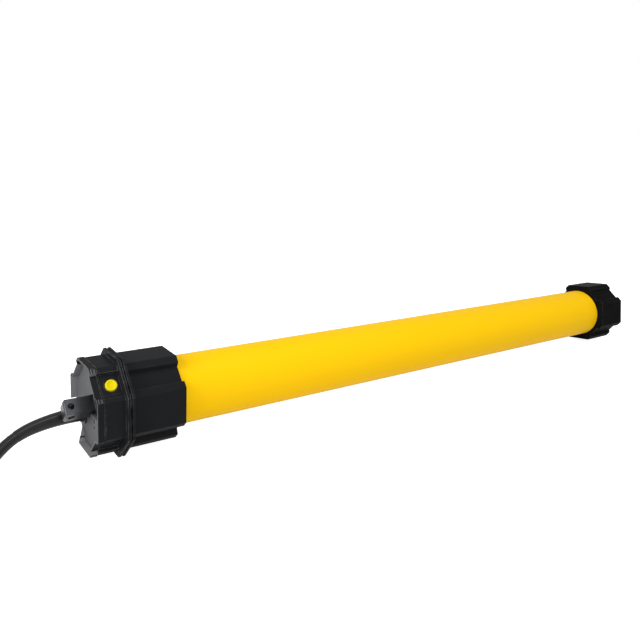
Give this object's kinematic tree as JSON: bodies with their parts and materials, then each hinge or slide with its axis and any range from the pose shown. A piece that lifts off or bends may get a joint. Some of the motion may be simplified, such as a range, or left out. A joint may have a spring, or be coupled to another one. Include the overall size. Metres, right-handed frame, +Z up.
{
  "type": "tubular roller blind motor",
  "caption": "Tubular roller blind motor: octagonal head with square pin, set button and cord, crown ring, round motor tube and octagonal drive wheel.",
  "frame": {"origin": "on the surface under the middle of the motor, cord left out", "axes": "+X along the motor axis from the head's square pin to the drive wheel, +Z up, the set button on the upper side that faces -Y"},
  "size_m": [0.6966, 0.1157, 0.0626],
  "materials": {
    "black_plastic": "satin moulded plastic",
    "cap_plastic": "satin moulded plastic",
    "pin_zinc": "dark die-cast metal",
    "yellow_tube": "satin powder coat",
    "yellow_button": "satin plastic",
    "rubber": "black rubber",
    "silicone": "clear silicone",
    "cord": "glossy black sheath",
    "cores": "coloured core insulation",
    "steel": "bright steel",
    "laminated": "stacked laminations",
    "copper": "enamelled wire",
    "aluminium": "die-cast",
    "bronze": "sintered bronze",
    "board_green": "circuit board",
    "parts_dark": "component cases",
    "grey_plastic": "moulded plastic",
    "gear_plastic": "acetal",
    "magnet": "bonded magnet",
    "lining": "brake lining"
  },
  "bodies": {
    "motor_body": {"head_housing": "black_plastic", "head_end_cap": "cap_plastic", "mounting_pin": "pin_zinc", "set_switch": "parts_dark", "button_board": "board_green", "button_return_ring": "silicone", "cable_gland": "rubber", "head_screws": "steel", "motor_tube": "yellow_tube", "crown_clip": "steel", "board_carrier": "grey_plastic", "control_board": "board_green", "board_components": "parts_dark", "run_capacitor": "grey_plastic", "capacitor_cradles": "grey_plastic", "rear_end_shield": "aluminium", "front_end_shield": "aluminium", "rear_bearing": "steel", "front_bearing": "steel", "stator_core": "laminated", "stator_windings": "copper", "brake_housing": "grey_plastic", "brake_coil": "copper", "brake_spring": "steel", "ring_gear_housing": "steel", "output_bushing": "bronze", "gearbox_cover": "aluminium", "thrust_washer": "bronze", "power_cable": "cord", "cable_coil": "cord", "cable_cores": "cores"},
    "crown": {"crown_ring": "black_plastic", "encoder_magnet_ring": "magnet"},
    "button": {"set_button": "yellow_button"},
    "plunger": {"switch_plunger": "parts_dark"},
    "rotor": {"rotor_core": "laminated", "rotor_end_rings": "aluminium", "rotor_shaft": "steel", "first_sun_gear": "steel", "brake_disc": "lining", "brake_hub": "steel"},
    "brake_armature": {"brake_plate": "steel"},
    "first_stage": {"first_carrier": "steel", "second_sun_gear": "steel"},
    "second_stage": {"second_carrier": "steel", "third_sun_gear": "steel"},
    "output": {"third_carrier": "steel", "output_shaft": "steel", "drive_wheel": "black_plastic", "wheel_washer": "steel", "wheel_screw": "steel"},
    "first_planet_1_body": {"first_planet_1": "gear_plastic"},
    "first_planet_2_body": {"first_planet_2": "gear_plastic"},
    "first_planet_3_body": {"first_planet_3": "gear_plastic"},
    "second_planet_1_body": {"second_planet_1": "gear_plastic"},
    "second_planet_2_body": {"second_planet_2": "gear_plastic"},
    "second_planet_3_body": {"second_planet_3": "gear_plastic"},
    "third_planet_1_body": {"third_planet_1": "gear_plastic"},
    "third_planet_2_body": {"third_planet_2": "gear_plastic"},
    "third_planet_3_body": {"third_planet_3": "gear_plastic"}
  },
  "joints": [
    {"name": "crown_spin", "type": "hinge", "parent": "motor_body", "child": "crown", "pos_m": [-0.229, 0, 0.0313], "axis": [1, 0, 0], "continuous": true},
    {"name": "button_press", "type": "slide", "parent": "motor_body", "child": "button", "axis": [0, 0.7071, -0.7071], "range_m": [0, 0.0012], "stiffness_N_per_m": 1200, "springref_m": -0.0008, "deforming": ["button_return_ring"]},
    {"name": "plunger_press", "type": "slide", "parent": "motor_body", "child": "plunger", "axis": [0, 0.7071, -0.7071], "range_m": [0, 0.0012]},
    {"name": "rotor_spin", "type": "hinge", "parent": "motor_body", "child": "rotor", "pos_m": [0.001, 0, 0.0313], "axis": [1, 0, 0], "continuous": true},
    {"name": "brake_release", "type": "slide", "parent": "motor_body", "child": "brake_armature", "axis": [1, 0, 0], "range_m": [0, 0.0006], "stiffness_N_per_m": 4000, "springref_m": -0.002, "deforming": ["brake_spring"]},
    {"name": "first_carrier_spin", "type": "hinge", "parent": "motor_body", "child": "first_stage", "pos_m": [0.131, 0, 0.0313], "axis": [1, 0, 0], "continuous": true},
    {"name": "second_carrier_spin", "type": "hinge", "parent": "motor_body", "child": "second_stage", "pos_m": [0.151, 0, 0.0313], "axis": [1, 0, 0], "continuous": true},
    {"name": "output_spin", "type": "hinge", "parent": "motor_body", "child": "output", "pos_m": [0.251, 0, 0.0313], "axis": [1, 0, 0], "continuous": true},
    {"name": "first_planet_1_spin", "type": "hinge", "parent": "first_stage", "child": "first_planet_1_body", "pos_m": [0.126, 0.0108, 0.0313], "axis": [1, 0, 0], "continuous": true},
    {"name": "first_planet_2_spin", "type": "hinge", "parent": "first_stage", "child": "first_planet_2_body", "pos_m": [0.126, -0.0054, 0.04065], "axis": [1, 0, 0], "continuous": true},
    {"name": "first_planet_3_spin", "type": "hinge", "parent": "first_stage", "child": "first_planet_3_body", "pos_m": [0.126, -0.0054, 0.02195], "axis": [1, 0, 0], "continuous": true},
    {"name": "second_planet_1_spin", "type": "hinge", "parent": "second_stage", "child": "second_planet_1_body", "pos_m": [0.148, 0.0108, 0.0313], "axis": [1, 0, 0], "continuous": true},
    {"name": "second_planet_2_spin", "type": "hinge", "parent": "second_stage", "child": "second_planet_2_body", "pos_m": [0.148, -0.0054, 0.04065], "axis": [1, 0, 0], "continuous": true},
    {"name": "second_planet_3_spin", "type": "hinge", "parent": "second_stage", "child": "second_planet_3_body", "pos_m": [0.148, -0.0054, 0.02195], "axis": [1, 0, 0], "continuous": true},
    {"name": "third_planet_1_spin", "type": "hinge", "parent": "output", "child": "third_planet_1_body", "pos_m": [0.171, 0.0108, 0.0313], "axis": [1, 0, 0], "continuous": true},
    {"name": "third_planet_2_spin", "type": "hinge", "parent": "output", "child": "third_planet_2_body", "pos_m": [0.171, -0.0054, 0.04065], "axis": [1, 0, 0], "continuous": true},
    {"name": "third_planet_3_spin", "type": "hinge", "parent": "output", "child": "third_planet_3_body", "pos_m": [0.171, -0.0054, 0.02195], "axis": [1, 0, 0], "continuous": true}
  ],
  "couplings": [
    {"joint": "plunger_press", "follows": "button_press", "ratio": 1},
    {"joint": "first_carrier_spin", "follows": "rotor_spin", "ratio": 0.1875},
    {"joint": "second_carrier_spin", "follows": "rotor_spin", "ratio": 0.035156},
    {"joint": "output_spin", "follows": "rotor_spin", "ratio": 0.0065918},
    {"joint": "first_planet_1_spin", "follows": "rotor_spin", "ratio": -0.4875},
    {"joint": "first_planet_2_spin", "follows": "rotor_spin", "ratio": -0.4875},
    {"joint": "first_planet_3_spin", "follows": "rotor_spin", "ratio": -0.4875},
    {"joint": "second_planet_1_spin", "follows": "rotor_spin", "ratio": -0.091406},
    {"joint": "second_planet_2_spin", "follows": "rotor_spin", "ratio": -0.091406},
    {"joint": "second_planet_3_spin", "follows": "rotor_spin", "ratio": -0.091406},
    {"joint": "third_planet_1_spin", "follows": "rotor_spin", "ratio": -0.017139},
    {"joint": "third_planet_2_spin", "follows": "rotor_spin", "ratio": -0.017139},
    {"joint": "third_planet_3_spin", "follows": "rotor_spin", "ratio": -0.017139}
  ]
}
